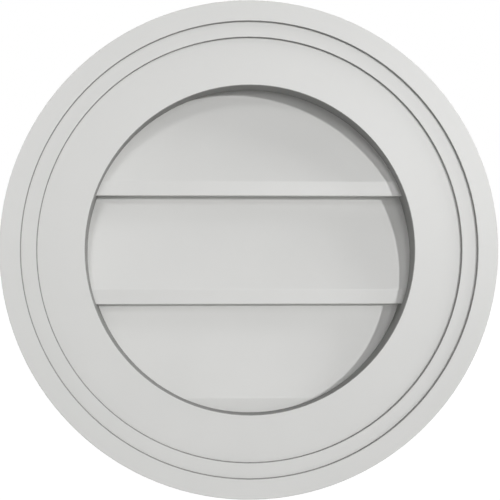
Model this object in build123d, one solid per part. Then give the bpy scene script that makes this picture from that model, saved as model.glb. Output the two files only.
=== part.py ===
from build123d import *
import math
import os

os.makedirs("parts", exist_ok=True)

# Round gable vent: a turned cellular PVC ring with three fixed louvers and an insect screen.
# Millimetres. Y = 0 is the flat back that goes against the wall, the face looks along -Y, +Z is up.
# The ring's axis is the Y axis.

# Ring, seen from the front
outer_diameter = 304.8
outer_band = 12.7
middle_band = 9.5
inner_band = 29.0
step_depth = 2.25
edge_break = 0.4
back_chamfer = 1.0

# Louvers
louver_count = 3
nose_setback = 11.8
nose_height = 9.0
louver_lean = 11.8
blade_thickness = 6.35
blade_overlap = 7.65
crease_round = 3.0
nose_edge_round = 0.4

# Seat that takes the louver ends, cut into the ring from behind
seat_depth = 5.0
seat_clearance = 0.3

# Insect screen, laid in a shallow recess at the back
screen_gap = 0.3
screen_thickness = 0.6
screen_lap = 14.0
screen_recess_margin = 1.0
screen_bare_edge = 15.0

# Its mesh, coarse: each bar takes about the share of the pitch that the real threads take
mesh_gaps_across = 12
mesh_warp_share = 0.21
mesh_weft_share = 0.19
mesh_weft_thickness = 0.4

# Staples that hold the screen
staple_count = 12
staple_crown = 10.0
staple_wire_thickness = 0.55
staple_wire_width = 1.0
staple_leg = 6.5
staple_sink = 0.05
staple_bend = 0.5

# Radii, all from the ring's own sizes
outer_radius = outer_diameter / 2
first_step_radius = outer_radius - outer_band
second_step_radius = first_step_radius - middle_band
opening_radius = second_step_radius - inner_band
seat_radius = opening_radius + seat_depth
louver_end_radius = seat_radius - seat_clearance
screen_radius = seat_radius + screen_lap
recess_radius = screen_radius + screen_recess_margin
mesh_radius = screen_radius - screen_bare_edge
mesh_pitch = 2 * mesh_radius / mesh_gaps_across
mesh_warp_width = mesh_pitch * mesh_warp_share
mesh_weft_width = mesh_pitch * mesh_weft_share

# Louver spacing: equal bays, the lowest nose sits on the bottom of the opening
lean_rise = math.tan(math.radians(louver_lean))
louver_pitch = 2 * opening_radius / louver_count
blade_rise = louver_pitch - nose_height + blade_overlap
blade_depth = blade_thickness / math.cos(math.radians(louver_lean))

# Depths: the ring is as thick as the steps, the louvers and the screen recess need
recess_depth = screen_thickness + staple_wire_thickness + staple_sink
ring_thickness = (
    2 * step_depth + nose_setback + blade_rise * lean_rise + blade_depth + screen_gap + recess_depth
)
front_y = -ring_thickness
middle_band_y = front_y + step_depth
inner_band_y = middle_band_y + step_depth
nose_y = inner_band_y + nose_setback


def disc(radius, y_from, y_to):
    """A round plug on the ring's axis between two depths."""
    length = y_to - y_from
    return Pos(0, (y_from + y_to) / 2, 0) * Rot(90, 0, 0) * Cylinder(radius, length)


def nose_bottom(index):
    """Height of the underside of one louver, counted from the lowest."""
    return -opening_radius + index * louver_pitch


def front_line(index, height):
    """Depth of a louver's sloping front face at a height above its crease."""
    return nose_y + (height - nose_bottom(index) - nose_height) * lean_rise


def louver_top(index):
    """Height where a blade ends. The highest one runs up to the ring itself."""
    if index == louver_count - 1:
        return seat_radius
    return nose_bottom(index) + nose_height + blade_rise


def louver_section(index):
    """Outline of one louver in depth and height: upright nose, leaning blade, level ends."""
    bottom = nose_bottom(index)
    crease = bottom + nose_height
    top = louver_top(index)
    under_back = nose_y + blade_depth - nose_height * lean_rise
    outline = Polyline(
        (nose_y, bottom),
        (nose_y, crease),
        (front_line(index, top), top),
        (front_line(index, top) + blade_depth, top),
        (under_back, bottom),
        close=True,
    )
    face = make_face(outline)
    for height, radius in ((bottom, nose_edge_round), (crease, crease_round)):
        corner = face.vertices().sort_by_distance((nose_y, height, 0))[0]
        face = fillet(corner, radius)
    return face


def make_louver(index):
    """One louver: the outline run across the opening and cut to the round seat."""
    board = extrude(Plane.YZ * louver_section(index), amount=outer_radius, both=True)
    return board & disc(louver_end_radius, front_y, 0)


def seat_cut(index):
    """What the ring loses for one louver: all behind its front face, open to the back."""
    bottom = nose_bottom(index)
    crease = bottom + nose_height
    top = louver_top(index)
    outline = Polyline(
        (nose_y, bottom),
        (nose_y, crease),
        (front_line(index, top), top),
        (0, top),
        (0, bottom),
        close=True,
    )
    board = extrude(Plane.YZ * make_face(outline), amount=outer_radius, both=True)
    return board & disc(seat_radius, front_y, 0)


def make_ring_blank():
    """The turned ring: two steps down from the rim, the opening, and sharp edges just broken."""
    profile = Polyline(
        (opening_radius, 0),
        (opening_radius, inner_band_y),
        (second_step_radius, inner_band_y),
        (second_step_radius, middle_band_y),
        (first_step_radius, middle_band_y),
        (first_step_radius, front_y),
        (outer_radius, front_y),
        (outer_radius, -back_chamfer),
        (outer_radius - back_chamfer, 0),
        close=True,
    )
    face = make_face(profile)
    proud_corners = (
        (opening_radius, inner_band_y),
        (second_step_radius, middle_band_y),
        (first_step_radius, front_y),
        (outer_radius, front_y),
    )
    for radius, y in proud_corners:
        corner = face.vertices().sort_by_distance((radius, y, 0))[0]
        face = chamfer(corner, edge_break)
    return revolve(face, Axis.Y)


def make_staple():
    """One staple at twelve o'clock: a crown across the screen's edge and two legs."""
    crown_back = -staple_sink
    crown_front = crown_back - staple_wire_thickness
    half = staple_crown / 2
    leg_end = crown_front - screen_thickness - staple_leg
    outline = Polyline(
        (-half, crown_back),
        (half, crown_back),
        (half, leg_end),
        (half - staple_wire_thickness, leg_end),
        (half - staple_wire_thickness, crown_front),
        (-half + staple_wire_thickness, crown_front),
        (-half + staple_wire_thickness, leg_end),
        (-half, leg_end),
        close=True,
    )
    face = make_face(outline)
    for x in (-half, half):
        corner = face.vertices().sort_by_distance((x, crown_back, 0))[0]
        face = fillet(corner, staple_bend)
    wire = extrude(face, amount=staple_wire_width / 2, both=True)
    return Pos(0, 0, (seat_radius + screen_radius) / 2) * wire


def place_staples():
    """The staples, evenly spaced round the screen, none on the level centre line."""
    step = 360 / staple_count
    return [Rot(0, step * (place + 0.5), 0) * make_staple() for place in range(staple_count)]


def mesh_gap_centres():
    """Centres of the screen's gaps, in rows and columns, as many as fall inside the mesh."""
    places = [
        (step - (mesh_gaps_across - 1) / 2) * mesh_pitch for step in range(mesh_gaps_across)
    ]
    return [(x, z) for x in places for z in places if math.hypot(x, z) < mesh_radius]


def mesh_cut(gap_height, y_from, y_to):
    """The screen's gaps at one height each, trimmed round, as solids between two depths."""
    gap = Rectangle(mesh_pitch - mesh_warp_width, gap_height)
    gaps = Sketch() + [Pos(x, z) * gap for x, z in mesh_gap_centres()]
    outline = Plane.XZ.offset(-y_to) * (gaps & Circle(mesh_radius))
    return extrude(outline, amount=y_to - y_from)


def make_screen(staples):
    """The screen: a thin round sheet with square gaps and weft bars set lower than the warp."""
    front = -recess_depth
    back = front + screen_thickness
    gaps = mesh_cut(mesh_pitch - mesh_weft_width, front, back)
    weft_relief = mesh_cut(mesh_pitch, front + mesh_weft_thickness, back)
    return disc(screen_radius, front, back) - gaps - weft_relief - staples


def make_ring(staples):
    """The finished ring: blank, louver seats, screen recess and the staples' own slots."""
    seats = [seat_cut(index) for index in range(louver_count)]
    recess = disc(recess_radius, -recess_depth, recess_depth)
    return make_ring_blank() - seats - recess - staples


def louver_name(index):
    """Plain name of a louver from its place."""
    if louver_count == 3:
        return ("louver_bottom", "louver_middle", "louver_top")[index]
    return f"louver_{index + 1}"


staples = place_staples()
parts = {
    "frame_ring": make_ring(staples),
    "insect_screen": make_screen(staples),
    "screen_staples": Compound(staples),
}
for index in range(louver_count):
    parts[louver_name(index)] = make_louver(index)

for name, shape in parts.items():
    export_step(shape, f"parts/{name}.step")

print("ring thickness", round(ring_thickness, 3), "pitch", round(louver_pitch, 3))
print("nose face y", round(nose_y, 3), "inner band y", round(inner_band_y, 3))
print("screen gaps", len(mesh_gap_centres()), "recess radius", round(recess_radius, 3))
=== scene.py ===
import logging
import math
from dataclasses import dataclass
from enum import Enum, IntEnum

import bmesh
import bpy
from mathutils import Matrix, Vector


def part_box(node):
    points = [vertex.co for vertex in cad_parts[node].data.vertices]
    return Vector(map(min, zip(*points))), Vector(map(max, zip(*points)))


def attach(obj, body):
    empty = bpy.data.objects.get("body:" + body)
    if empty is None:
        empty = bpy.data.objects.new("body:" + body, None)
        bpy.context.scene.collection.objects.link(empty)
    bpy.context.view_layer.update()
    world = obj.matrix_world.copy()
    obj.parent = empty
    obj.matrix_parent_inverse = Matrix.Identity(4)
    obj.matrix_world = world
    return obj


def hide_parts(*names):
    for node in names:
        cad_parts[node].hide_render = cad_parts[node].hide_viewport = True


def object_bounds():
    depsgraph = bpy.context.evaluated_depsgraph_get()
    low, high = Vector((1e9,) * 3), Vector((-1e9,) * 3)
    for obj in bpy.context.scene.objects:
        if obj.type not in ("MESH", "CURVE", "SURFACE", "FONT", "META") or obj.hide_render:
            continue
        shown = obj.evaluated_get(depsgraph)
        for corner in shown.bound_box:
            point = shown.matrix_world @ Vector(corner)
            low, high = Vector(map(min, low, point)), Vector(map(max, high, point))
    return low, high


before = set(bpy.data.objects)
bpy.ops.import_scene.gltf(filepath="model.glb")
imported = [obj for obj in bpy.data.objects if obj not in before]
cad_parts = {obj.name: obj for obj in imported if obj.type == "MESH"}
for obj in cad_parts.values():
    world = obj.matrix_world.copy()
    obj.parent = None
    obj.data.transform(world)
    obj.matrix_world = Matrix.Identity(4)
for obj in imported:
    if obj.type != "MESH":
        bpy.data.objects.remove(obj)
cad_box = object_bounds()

log = logging.getLogger("gable_vent")

# Lengths are in metres. The vent's axis is the Y axis, its face looks along -Y, and +Z is up.
MM = 0.001
INCH = 25.4 * MM
RIGHT_ANGLE = math.radians(90)
BODY = "root"


def linear(hex_colour: str) -> tuple[float, float, float, float]:
    """Turns an sRGB hex colour into the linear one that a shader takes.

    Args:
        hex_colour: Six hex digits after a hash mark.

    Returns:
        Red, green, blue and an alpha of 1.
    """
    values = [int(hex_colour[place:place + 2], 16) / 255 for place in (1, 3, 5)]
    red, green, blue = [
        value / 12.92 if value <= 0.04045 else ((value + 0.055) / 1.055) ** 2.4
        for value in values
    ]
    return red, green, blue, 1.0


def add_node(
    tree: bpy.types.NodeTree,
    kind: str,
    settings: dict[str, object] | None = None,
    inputs: dict[str | int, object] | None = None,
) -> bpy.types.Node:
    """Adds a node, sets it up and wires it.

    Args:
        tree: The node tree that takes the node.
        kind: The node's type name.
        settings: Properties of the node itself.
        inputs: A value, or an output socket to link, for each input's name or place.

    Returns:
        The new node.
    """
    node = tree.nodes.new(kind)
    for name, value in (settings or {}).items():
        setattr(node, name, value)
    for name, value in (inputs or {}).items():
        if isinstance(value, bpy.types.NodeSocket):
            tree.links.new(value, node.inputs[name])
        else:
            node.inputs[name].default_value = value
    return node


def blank_material(name: str) -> tuple[bpy.types.Material, bpy.types.NodeTree]:
    """Makes a material with an empty tree.

    Args:
        name: The material's name.

    Returns:
        The material and its node tree.
    """
    material = bpy.data.materials.new(name)
    material.use_nodes = True
    material.node_tree.nodes.clear()
    return material, material.node_tree


class MixInput(IntEnum):
    """A Mix node's inputs by place, because several of them share a name."""

    FACTOR = 0
    FIRST_NUMBER = 2
    SECOND_NUMBER = 3
    FIRST_COLOUR = 6
    SECOND_COLOUR = 7


class MixResult(IntEnum):
    """A Mix node's results by place, for the same reason."""

    NUMBER = 0
    COLOUR = 2


class Cut(Enum):
    """How a piece of sheet PVC got its form, which sets the run of its fine tool marks."""

    TURNED = "rings round the vent's axis"
    PLANED = "lines along the board"


@dataclass(frozen=True)
class CellularPvc:
    """White cellular PVC sheet, cut, sanded and left satin.

    The sheet is foamed PVC with a closed skin. Its faces give the eye an even white with a
    broad, weak sheen and faint clouding from sanding. On walls that look towards the vent's
    axis the colour is a painted shade: a darker grey that stands in for the shade deep in the
    opening, with a duller surface there. The tool marks of 0.8 mm and the grain are real sizes,
    and so shallow that they only break up the sheen.
    """

    name: str
    cut: Cut
    light: str = "#D8D8D6"
    dark: str = "#D4D4D2"
    # Painted shade: the dark grey on walls that look towards the vent's axis, standing in for the
    # shade deep in the opening.
    painted_shade: str = "#8A8A88"
    roughness: float = 0.32
    inward_roughness: float = 0.85
    ior: float = 1.5
    cloud_size: float = 35 * MM
    cloud_layers: float = 3.0
    cloud_contrast: float = 0.55
    sheen_change: float = 0.02
    mark_pitch: float = 0.8 * MM
    mark_depth: float = 0.004 * MM
    grain_size: float = 0.6 * MM
    grain_layers: float = 2.0
    grain_contrast: float = 0.6
    grain_depth: float = 0.008 * MM
    full_shade_facing: float = -0.75
    no_shade_facing: float = -0.35

    def marks_along(self, tree: bpy.types.NodeTree, place: bpy.types.Node) -> bpy.types.NodeSocket:
        """Measures the distance across the tool marks, in metres, at each point of the piece.

        Args:
            tree: The material's tree.
            place: The separated object coordinates.

        Returns:
            The socket with the distance.
        """
        if self.cut is Cut.PLANED:
            across = add_node(tree, "ShaderNodeMath", {"operation": "ADD"},
                              {0: place.outputs["Z"], 1: place.outputs["Y"]})
            return across.outputs[0]
        flat = add_node(tree, "ShaderNodeCombineXYZ", None,
                        {"X": place.outputs["X"], "Z": place.outputs["Z"]})
        radius = add_node(tree, "ShaderNodeVectorMath", {"operation": "LENGTH"},
                          {0: flat.outputs[0]})
        across = add_node(tree, "ShaderNodeMath", {"operation": "ADD"},
                          {0: radius.outputs["Value"], 1: place.outputs["Y"]})
        return across.outputs[0]

    def painted_shade_share(self, tree: bpy.types.NodeTree, where: bpy.types.Node,
                    place: bpy.types.Node) -> bpy.types.NodeSocket:
        """Masks the painted shade: 1 on walls that look towards the vent's axis, 0 elsewhere.

        Args:
            tree: The material's tree.
            where: The texture coordinates.
            place: The separated object coordinates.

        Returns:
            The socket with the share of painted shade.
        """
        level = add_node(tree, "ShaderNodeCombineXYZ", None,
                         {"X": place.outputs["X"], "Z": place.outputs["Z"]})
        outwards = add_node(tree, "ShaderNodeVectorMath", {"operation": "NORMALIZE"},
                            {0: level.outputs[0]})
        facing = add_node(tree, "ShaderNodeVectorMath", {"operation": "DOT_PRODUCT"},
                          {0: outwards.outputs[0], 1: where.outputs["Normal"]})
        share = add_node(tree, "ShaderNodeMapRange", None,
                         {"Value": facing.outputs["Value"], "From Min": self.full_shade_facing,
                          "From Max": self.no_shade_facing, "To Min": 1.0, "To Max": 0.0})
        return share.outputs[0]

    def make(self) -> bpy.types.Material:
        """Builds the finish as a node material.

        Returns:
            The material.
        """
        material, tree = blank_material(self.name)
        where = add_node(tree, "ShaderNodeTexCoord")
        place = add_node(tree, "ShaderNodeSeparateXYZ", None, {0: where.outputs["Object"]})

        cloud = add_node(tree, "ShaderNodeTexNoise", None,
                         {"Vector": where.outputs["Object"], "Scale": 1 / self.cloud_size,
                          "Detail": self.cloud_layers, "Roughness": self.cloud_contrast})
        skin = add_node(tree, "ShaderNodeMix", {"data_type": "RGBA"},
                        {MixInput.FACTOR: cloud.outputs["Fac"],
                         MixInput.FIRST_COLOUR: linear(self.dark),
                         MixInput.SECOND_COLOUR: linear(self.light)})
        # Share of painted shade at each point: walls turned towards the axis take the darker grey in
        # place of the skin's colour, and a duller surface.
        cut = self.painted_shade_share(tree, where, place)
        colour = add_node(tree, "ShaderNodeMix", {"data_type": "RGBA"},
                          {MixInput.FACTOR: cut,
                           MixInput.FIRST_COLOUR: skin.outputs[MixResult.COLOUR],
                           MixInput.SECOND_COLOUR: linear(self.painted_shade)})

        turns = add_node(tree, "ShaderNodeMath", {"operation": "MULTIPLY"},
                         {0: self.marks_along(tree, place), 1: 2 * math.pi / self.mark_pitch})
        wave = add_node(tree, "ShaderNodeMath", {"operation": "SINE"}, {0: turns.outputs[0]})
        marks = add_node(tree, "ShaderNodeBump", None,
                         {"Strength": 1.0, "Distance": self.mark_depth / 2,
                          "Height": wave.outputs[0]})
        grain = add_node(tree, "ShaderNodeTexNoise", None,
                         {"Vector": where.outputs["Object"], "Scale": 1 / self.grain_size,
                          "Detail": self.grain_layers, "Roughness": self.grain_contrast})
        relief = add_node(tree, "ShaderNodeBump", None,
                          {"Strength": 1.0, "Distance": self.grain_depth,
                           "Height": grain.outputs["Fac"], "Normal": marks.outputs[0]})

        sheen = add_node(tree, "ShaderNodeMapRange", None,
                         {"Value": cloud.outputs["Fac"],
                          "To Min": self.roughness - self.sheen_change,
                          "To Max": self.roughness + self.sheen_change})
        dulled = add_node(tree, "ShaderNodeMix", {"data_type": "FLOAT"},
                          {MixInput.FACTOR: cut, MixInput.FIRST_NUMBER: sheen.outputs[0],
                           MixInput.SECOND_NUMBER: self.inward_roughness})
        surface = add_node(tree, "ShaderNodeBsdfPrincipled", None,
                           {"Base Color": colour.outputs[MixResult.COLOUR],
                            "Roughness": dulled.outputs[MixResult.NUMBER],
                            "IOR": self.ior, "Normal": relief.outputs[0]})
        add_node(tree, "ShaderNodeOutputMaterial", None, {"Surface": surface.outputs[0]})
        return material


@dataclass(frozen=True)
class CoatedYarn:
    """Charcoal PVC-coated glass fibre yarn, woven and fused.

    The plastic coat is dark and half matt, so a thread shows as a soft dark line with a thin
    glint, a little lighter where the coat lies thin over the glass.
    """

    name: str
    dark: str = "#34373A"
    thin: str = "#4A4E52"
    roughness: float = 0.5
    ior: float = 1.5
    patch_size: float = 1.5 * MM
    patch_layers: float = 2.0

    def make(self) -> bpy.types.Material:
        """Builds the finish as a node material.

        Returns:
            The material.
        """
        material, tree = blank_material(self.name)
        where = add_node(tree, "ShaderNodeTexCoord")
        patch = add_node(tree, "ShaderNodeTexNoise", None,
                         {"Vector": where.outputs["Object"], "Scale": 1 / self.patch_size,
                          "Detail": self.patch_layers})
        colour = add_node(tree, "ShaderNodeMix", {"data_type": "RGBA"},
                          {MixInput.FACTOR: patch.outputs["Fac"],
                           MixInput.FIRST_COLOUR: linear(self.dark),
                           MixInput.SECOND_COLOUR: linear(self.thin)})
        surface = add_node(tree, "ShaderNodeBsdfPrincipled", None,
                           {"Base Color": colour.outputs[MixResult.COLOUR],
                            "Roughness": self.roughness, "IOR": self.ior})
        add_node(tree, "ShaderNodeOutputMaterial", None, {"Surface": surface.outputs[0]})
        return material


@dataclass(frozen=True)
class StainlessWire:
    """Stainless steel staple wire, drawn and flattened.

    Drawing leaves fine scratches along the wire, which make its shine uneven. Here they are
    coarser than the real ones, or they wouldn't show, and on all staples they run one way.
    """

    name: str
    colour: str = "#D2D1CE"
    worn: str = "#B4B3B0"
    roughness: float = 0.34
    roughness_change: float = 0.08
    scratch_pitch: float = 0.12 * MM
    scratch_length: float = 4 * MM
    scratch_layers: float = 2.0

    def make(self) -> bpy.types.Material:
        """Builds the finish as a node material.

        Returns:
            The material.
        """
        material, tree = blank_material(self.name)
        where = add_node(tree, "ShaderNodeTexCoord")
        stretch = add_node(tree, "ShaderNodeMapping", None,
                           {"Vector": where.outputs["Object"],
                            "Scale": Vector((1 / self.scratch_length, 1 / self.scratch_pitch,
                                             1 / self.scratch_pitch))})
        scratch = add_node(tree, "ShaderNodeTexNoise", None,
                           {"Vector": stretch.outputs[0], "Scale": 1.0,
                            "Detail": self.scratch_layers})
        colour = add_node(tree, "ShaderNodeMix", {"data_type": "RGBA"},
                          {MixInput.FACTOR: scratch.outputs["Fac"],
                           MixInput.FIRST_COLOUR: linear(self.worn),
                           MixInput.SECOND_COLOUR: linear(self.colour)})
        spread = add_node(tree, "ShaderNodeMapRange", None,
                          {"Value": scratch.outputs["Fac"],
                           "To Min": self.roughness - self.roughness_change,
                           "To Max": self.roughness + self.roughness_change})
        surface = add_node(tree, "ShaderNodeBsdfPrincipled", None,
                           {"Base Color": colour.outputs[MixResult.COLOUR], "Metallic": 1.0,
                            "Roughness": spread.outputs[0]})
        add_node(tree, "ShaderNodeOutputMaterial", None, {"Surface": surface.outputs[0]})
        return material


def dress(node: str, material: bpy.types.Material) -> None:
    """Gives a CAD piece its finish and reports it.

    Args:
        node: The piece's name in the frame.
        material: The finish that it takes.
    """
    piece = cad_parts[node]
    piece.data.materials.clear()
    piece.data.materials.append(material)
    log.info("%s dressed in %s", node, material.name)


@dataclass
class FrameRing:
    """The turned ring: outer, middle and inner band, the opening's wall and the back."""

    node: str = "frame_ring"
    finish: CellularPvc = CellularPvc("turned_cellular_pvc", Cut.TURNED)

    def build(self) -> None:
        """Dresses the ring."""
        dress(self.node, self.finish.make())


@dataclass
class LouverBank:
    """The louvers: boards planed from thinner sheet of the same plastic.

    Their faces that look towards the vent's axis take only a faint painted shade, so they stay nearly
    as light as the rest.
    """

    nodes: tuple[str, ...] = ("louver_top", "louver_middle", "louver_bottom")
    # A faint painted shade, barely darker than the skin, on the louvers' faces that look towards the
    # vent's axis.
    finish: CellularPvc = CellularPvc("planed_cellular_pvc", Cut.PLANED, painted_shade="#D0D0CE")

    def build(self) -> None:
        """Dresses the louvers in one finish."""
        material = self.finish.make()
        for node in self.nodes:
            dress(node, material)


@dataclass
class InsectScreen:
    """The woven screen, 18 by 16 threads to the inch, in the space of its plain solid.

    Each layer stands off the screen's middle by a share of the yarn's thickness.
    """

    node: str = "insect_screen"
    piece_name: str = "screen_mesh_fine"
    slot: str = "screen_mesh"
    warp_pitch: float = INCH / 18
    weft_pitch: float = INCH / 16
    yarn: float = 0.3 * MM
    stand_off_share: float = 0.4
    sides: int = 6
    finish: CoatedYarn = CoatedYarn("coated_glass_fibre_yarn")

    def thread(self, mesh: bmesh.types.BMesh, middle: Vector, along: Vector, half: float) -> None:
        """Adds one straight thread.

        Args:
            mesh: The mesh that takes it.
            middle: Its mid-point.
            along: The way it runs.
            half: Half its length.
        """
        turn = along.to_track_quat("Z", "Y").to_matrix().to_4x4()
        bmesh.ops.create_cone(
            mesh,
            cap_ends=True,
            segments=self.sides,
            radius1=self.yarn / 2,
            radius2=self.yarn / 2,
            depth=2 * half,
            matrix=Matrix.Translation(middle) @ turn,
        )

    def layer(self, mesh: bmesh.types.BMesh, pitch: float, depth: float, upright: bool) -> int:
        """Adds the threads that run one way, as long as the round screen lets them be.

        Args:
            mesh: The mesh that takes them.
            pitch: Distance from thread to thread.
            depth: The layer's place along the vent's axis.
            upright: Whether the threads run up the screen or across it.

        Returns:
            How many threads were added.
        """
        low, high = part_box(self.node)
        radius = (high.x - low.x) / 2 - self.yarn
        count = int(radius / pitch)
        along = Vector((0, 0, 1)) if upright else Vector((1, 0, 0))
        added = 0
        for step in range(-count, count + 1):
            offset = step * pitch
            half = math.sqrt(radius**2 - offset**2)
            if half < pitch:
                continue
            middle = Vector((offset, depth, 0)) if upright else Vector((0, depth, offset))
            self.thread(mesh, middle, along, half)
            added += 1
        return added

    def build(self) -> None:
        """Weaves the screen, with warp and weft sunk into each other where they are fused."""
        low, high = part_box(self.node)
        centre = (low.y + high.y) / 2
        stand_off = self.yarn * self.stand_off_share
        mesh = bmesh.new()
        warp = self.layer(mesh, self.warp_pitch, centre + stand_off, upright=True)
        weft = self.layer(mesh, self.weft_pitch, centre - stand_off, upright=False)
        data = bpy.data.meshes.new(self.piece_name)
        mesh.to_mesh(data)
        mesh.free()
        piece = bpy.data.objects.new(self.piece_name, data)
        bpy.context.scene.collection.objects.link(piece)
        piece.data.materials.append(self.finish.make())
        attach(piece, BODY)
        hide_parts(self.node)
        log.info("%s woven of %d warp and %d weft threads", self.piece_name, warp, weft)


@dataclass
class Staples:
    """The staples that hold the screen's edge."""

    node: str = "screen_staples"
    finish: StainlessWire = StainlessWire("drawn_stainless_wire")

    def build(self) -> None:
        """Dresses the staples."""
        dress(self.node, self.finish.make())


@dataclass(frozen=True)
class Lamp:
    """A distant studio lamp, its angles in degrees.

    Level 1 lights a face square to it so that its colour is as written.
    """

    name: str
    azimuth: float
    elevation: float
    spread: float
    level: float

    def hang(self) -> None:
        """Hangs the lamp, turned to shine from its azimuth and elevation."""
        data = bpy.data.lights.new(self.name, "SUN")
        data.angle = math.radians(self.spread)
        data.energy = math.pi * self.level
        turn, rise = math.radians(self.azimuth), math.radians(self.elevation)
        towards = Vector((math.sin(turn) * math.cos(rise), -math.cos(turn) * math.cos(rise),
                          math.sin(rise)))
        lamp = bpy.data.objects.new(self.name, data)
        lamp.rotation_mode = "QUATERNION"
        lamp.rotation_quaternion = towards.to_track_quat("Z", "Y")
        bpy.context.scene.collection.objects.link(lamp)


@dataclass
class Studio:
    """Pale floor, white surround and lamps. Azimuth 0 is in front of the vent, 90 on its right.

    The key gives the sharp shadow at the right of the opening, and the front lamps lighten it.
    Those beside the vent and behind it light the rim and the back.
    """

    floor_drop: float = 0.30
    floor_size: float = 40.0
    floor_squares: int = 8
    floor_colour: str = "#B4B4B4"
    floor_lift: float = 0.67
    surround_level: float = 0.04
    lamps: tuple[Lamp, ...] = (
        Lamp("key", 24.8, 7.9, 0.6, 0.372),
        Lamp("front_left", -9.0, 5.0, 9.0, 0.052),
        Lamp("front_right", 8.0, 5.0, 9.0, 0.106),
        Lamp("front_high", -7.0, 24.0, 10.0, 0.07),
        Lamp("left_high", -85.0, 30.0, 24.0, 0.27),
        Lamp("right_high", 74.0, 30.0, 24.0, 0.38),
        Lamp("back_left", -125.0, 14.0, 24.0, 0.30),
        Lamp("back_right", 140.0, 14.0, 24.0, 0.15),
        Lamp("back_low", 180.0, 14.0, 24.0, 0.25),
        Lamp("back_high", 180.0, 50.0, 40.0, 0.25),
    )

    def seen(self, tree: bpy.types.NodeTree) -> bpy.types.NodeSocket:
        """Tells what is looked at from what only gives light.

        Args:
            tree: The tree of the floor or of the surround.

        Returns:
            A socket that is 1 to the eye, in reflections and through glass, and 0 as a light.
        """
        paths = add_node(tree, "ShaderNodeLightPath")
        mirrored = add_node(tree, "ShaderNodeMath", {"operation": "MAXIMUM"},
                            {0: paths.outputs["Is Glossy Ray"],
                             1: paths.outputs["Is Transmission Ray"]})
        shown = add_node(tree, "ShaderNodeMath", {"operation": "MAXIMUM"},
                         {0: paths.outputs["Is Camera Ray"], 1: mirrored.outputs[0]})
        return shown.outputs[0]

    def floor(self) -> None:
        """Lays the floor, lifted to white where it is looked at. It still takes shadow."""
        material, tree = blank_material("painted_floor")
        paint = add_node(tree, "ShaderNodeBsdfDiffuse", None,
                         {"Color": linear(self.floor_colour)})
        strength = add_node(tree, "ShaderNodeMath", {"operation": "MULTIPLY"},
                            {0: self.seen(tree), 1: self.floor_lift})
        lift = add_node(tree, "ShaderNodeEmission", None, {"Strength": strength.outputs[0]})
        both = add_node(tree, "ShaderNodeAddShader", None, {0: paint.outputs[0], 1: lift.outputs[0]})
        add_node(tree, "ShaderNodeOutputMaterial", None, {"Surface": both.outputs[0]})
        data = bpy.data.meshes.new("floor")
        mesh = bmesh.new()
        bmesh.ops.create_grid(mesh, x_segments=self.floor_squares, y_segments=self.floor_squares,
                              size=self.floor_size / 2)
        mesh.to_mesh(data)
        mesh.free()
        data.materials.append(material)
        plane = bpy.data.objects.new("floor", data)
        plane.location.z = cad_box[0].z - self.floor_drop
        bpy.context.scene.collection.objects.link(plane)

    def surround(self) -> None:
        """Makes the world: white to the eye and in reflections, dimmer as a light."""
        world = bpy.data.worlds.new("surround")
        world.use_nodes = True
        tree = world.node_tree
        tree.nodes.clear()
        strength = add_node(tree, "ShaderNodeMapRange", None,
                            {"Value": self.seen(tree), "To Min": self.surround_level,
                             "To Max": 1.0})
        sky = add_node(tree, "ShaderNodeBackground", None,
                       {"Color": linear("#FFFFFF"), "Strength": strength.outputs[0]})
        add_node(tree, "ShaderNodeOutputWorld", None, {"Surface": sky.outputs[0]})
        bpy.context.scene.world = world

    def build(self) -> None:
        """Sets up floor, surround, lamps and the plain view transform."""
        self.floor()
        self.surround()
        for lamp in self.lamps:
            lamp.hang()
        bpy.context.scene.view_settings.view_transform = "Standard"
        log.info("studio set with %d lamps", len(self.lamps))


@dataclass
class Viewpoint:
    """The photographer's camera: level with the centre, a little left of it and turned back to it."""

    left_of_centre: float = 38.0 * MM
    from_front: float = 730.0 * MM
    turn: float = 2.912
    lens: float = 86.3
    sensor: float = 36.0
    nearest: float = 20.0 * MM

    def build(self) -> None:
        """Places the camera and makes it the scene's own."""
        data = bpy.data.cameras.new("camera")
        data.lens = self.lens
        data.sensor_width = self.sensor
        data.clip_start = self.nearest
        camera = bpy.data.objects.new("camera", data)
        camera.location = (-self.left_of_centre, cad_box[0].y - self.from_front, 0.0)
        camera.rotation_euler = (RIGHT_ANGLE, 0.0, -math.radians(self.turn))
        bpy.context.scene.collection.objects.link(camera)
        bpy.context.scene.camera = camera
        log.info("camera set, %.1f mm lens", self.lens)


def main() -> None:
    """Builds the vent's looks piece by piece, then the studio and the camera."""
    logging.basicConfig(level=logging.INFO, format="%(name)s: %(message)s")
    FrameRing().build()
    LouverBank().build()
    InsectScreen().build()
    Staples().build()
    Studio().build()
    Viewpoint().build()


if __name__ == "__main__":
    main()
